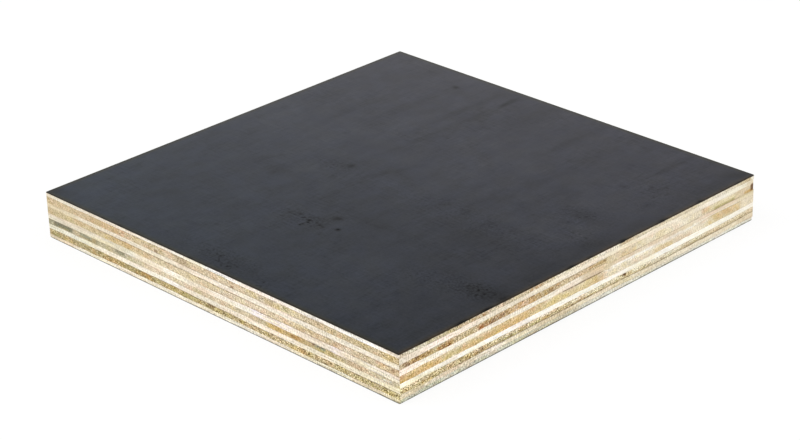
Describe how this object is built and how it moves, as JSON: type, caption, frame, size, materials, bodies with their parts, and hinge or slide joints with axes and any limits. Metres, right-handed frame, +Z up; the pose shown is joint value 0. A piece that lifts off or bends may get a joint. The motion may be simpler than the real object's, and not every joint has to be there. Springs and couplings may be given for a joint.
{
  "type": "plywood sheet",
  "caption": "Square off-cut of film-faced plywood: cross-laid veneers between two dark phenolic films, with bare sawn edges.",
  "frame": {"origin": "middle of the underside, on the face of the bottom film", "axes": "+Z up through the thickness, +X along the grain of the face veneers, +Y across it"},
  "size_m": [0.18, 0.18, 0.018],
  "materials": {
    "phenolic_film": "smooth dark film, satin",
    "sanded_veneer": "bare sawn edge, cream",
    "crossband": "bare sawn edge, tan end grain",
    "long_band": "bare sawn edge, pale"
  },
  "bodies": {
    "root": {"top_film": "phenolic_film", "face_veneer_1": "sanded_veneer", "crossband_2": "crossband", "long_band_3_front_strip": "long_band", "long_band_3_back_strip": "long_band", "crossband_4": "crossband", "centre_veneer_5": "long_band", "crossband_6": "crossband", "long_band_7": "long_band", "crossband_8": "crossband", "back_veneer_9": "sanded_veneer", "bottom_film": "phenolic_film"}
  },
  "joints": []
}
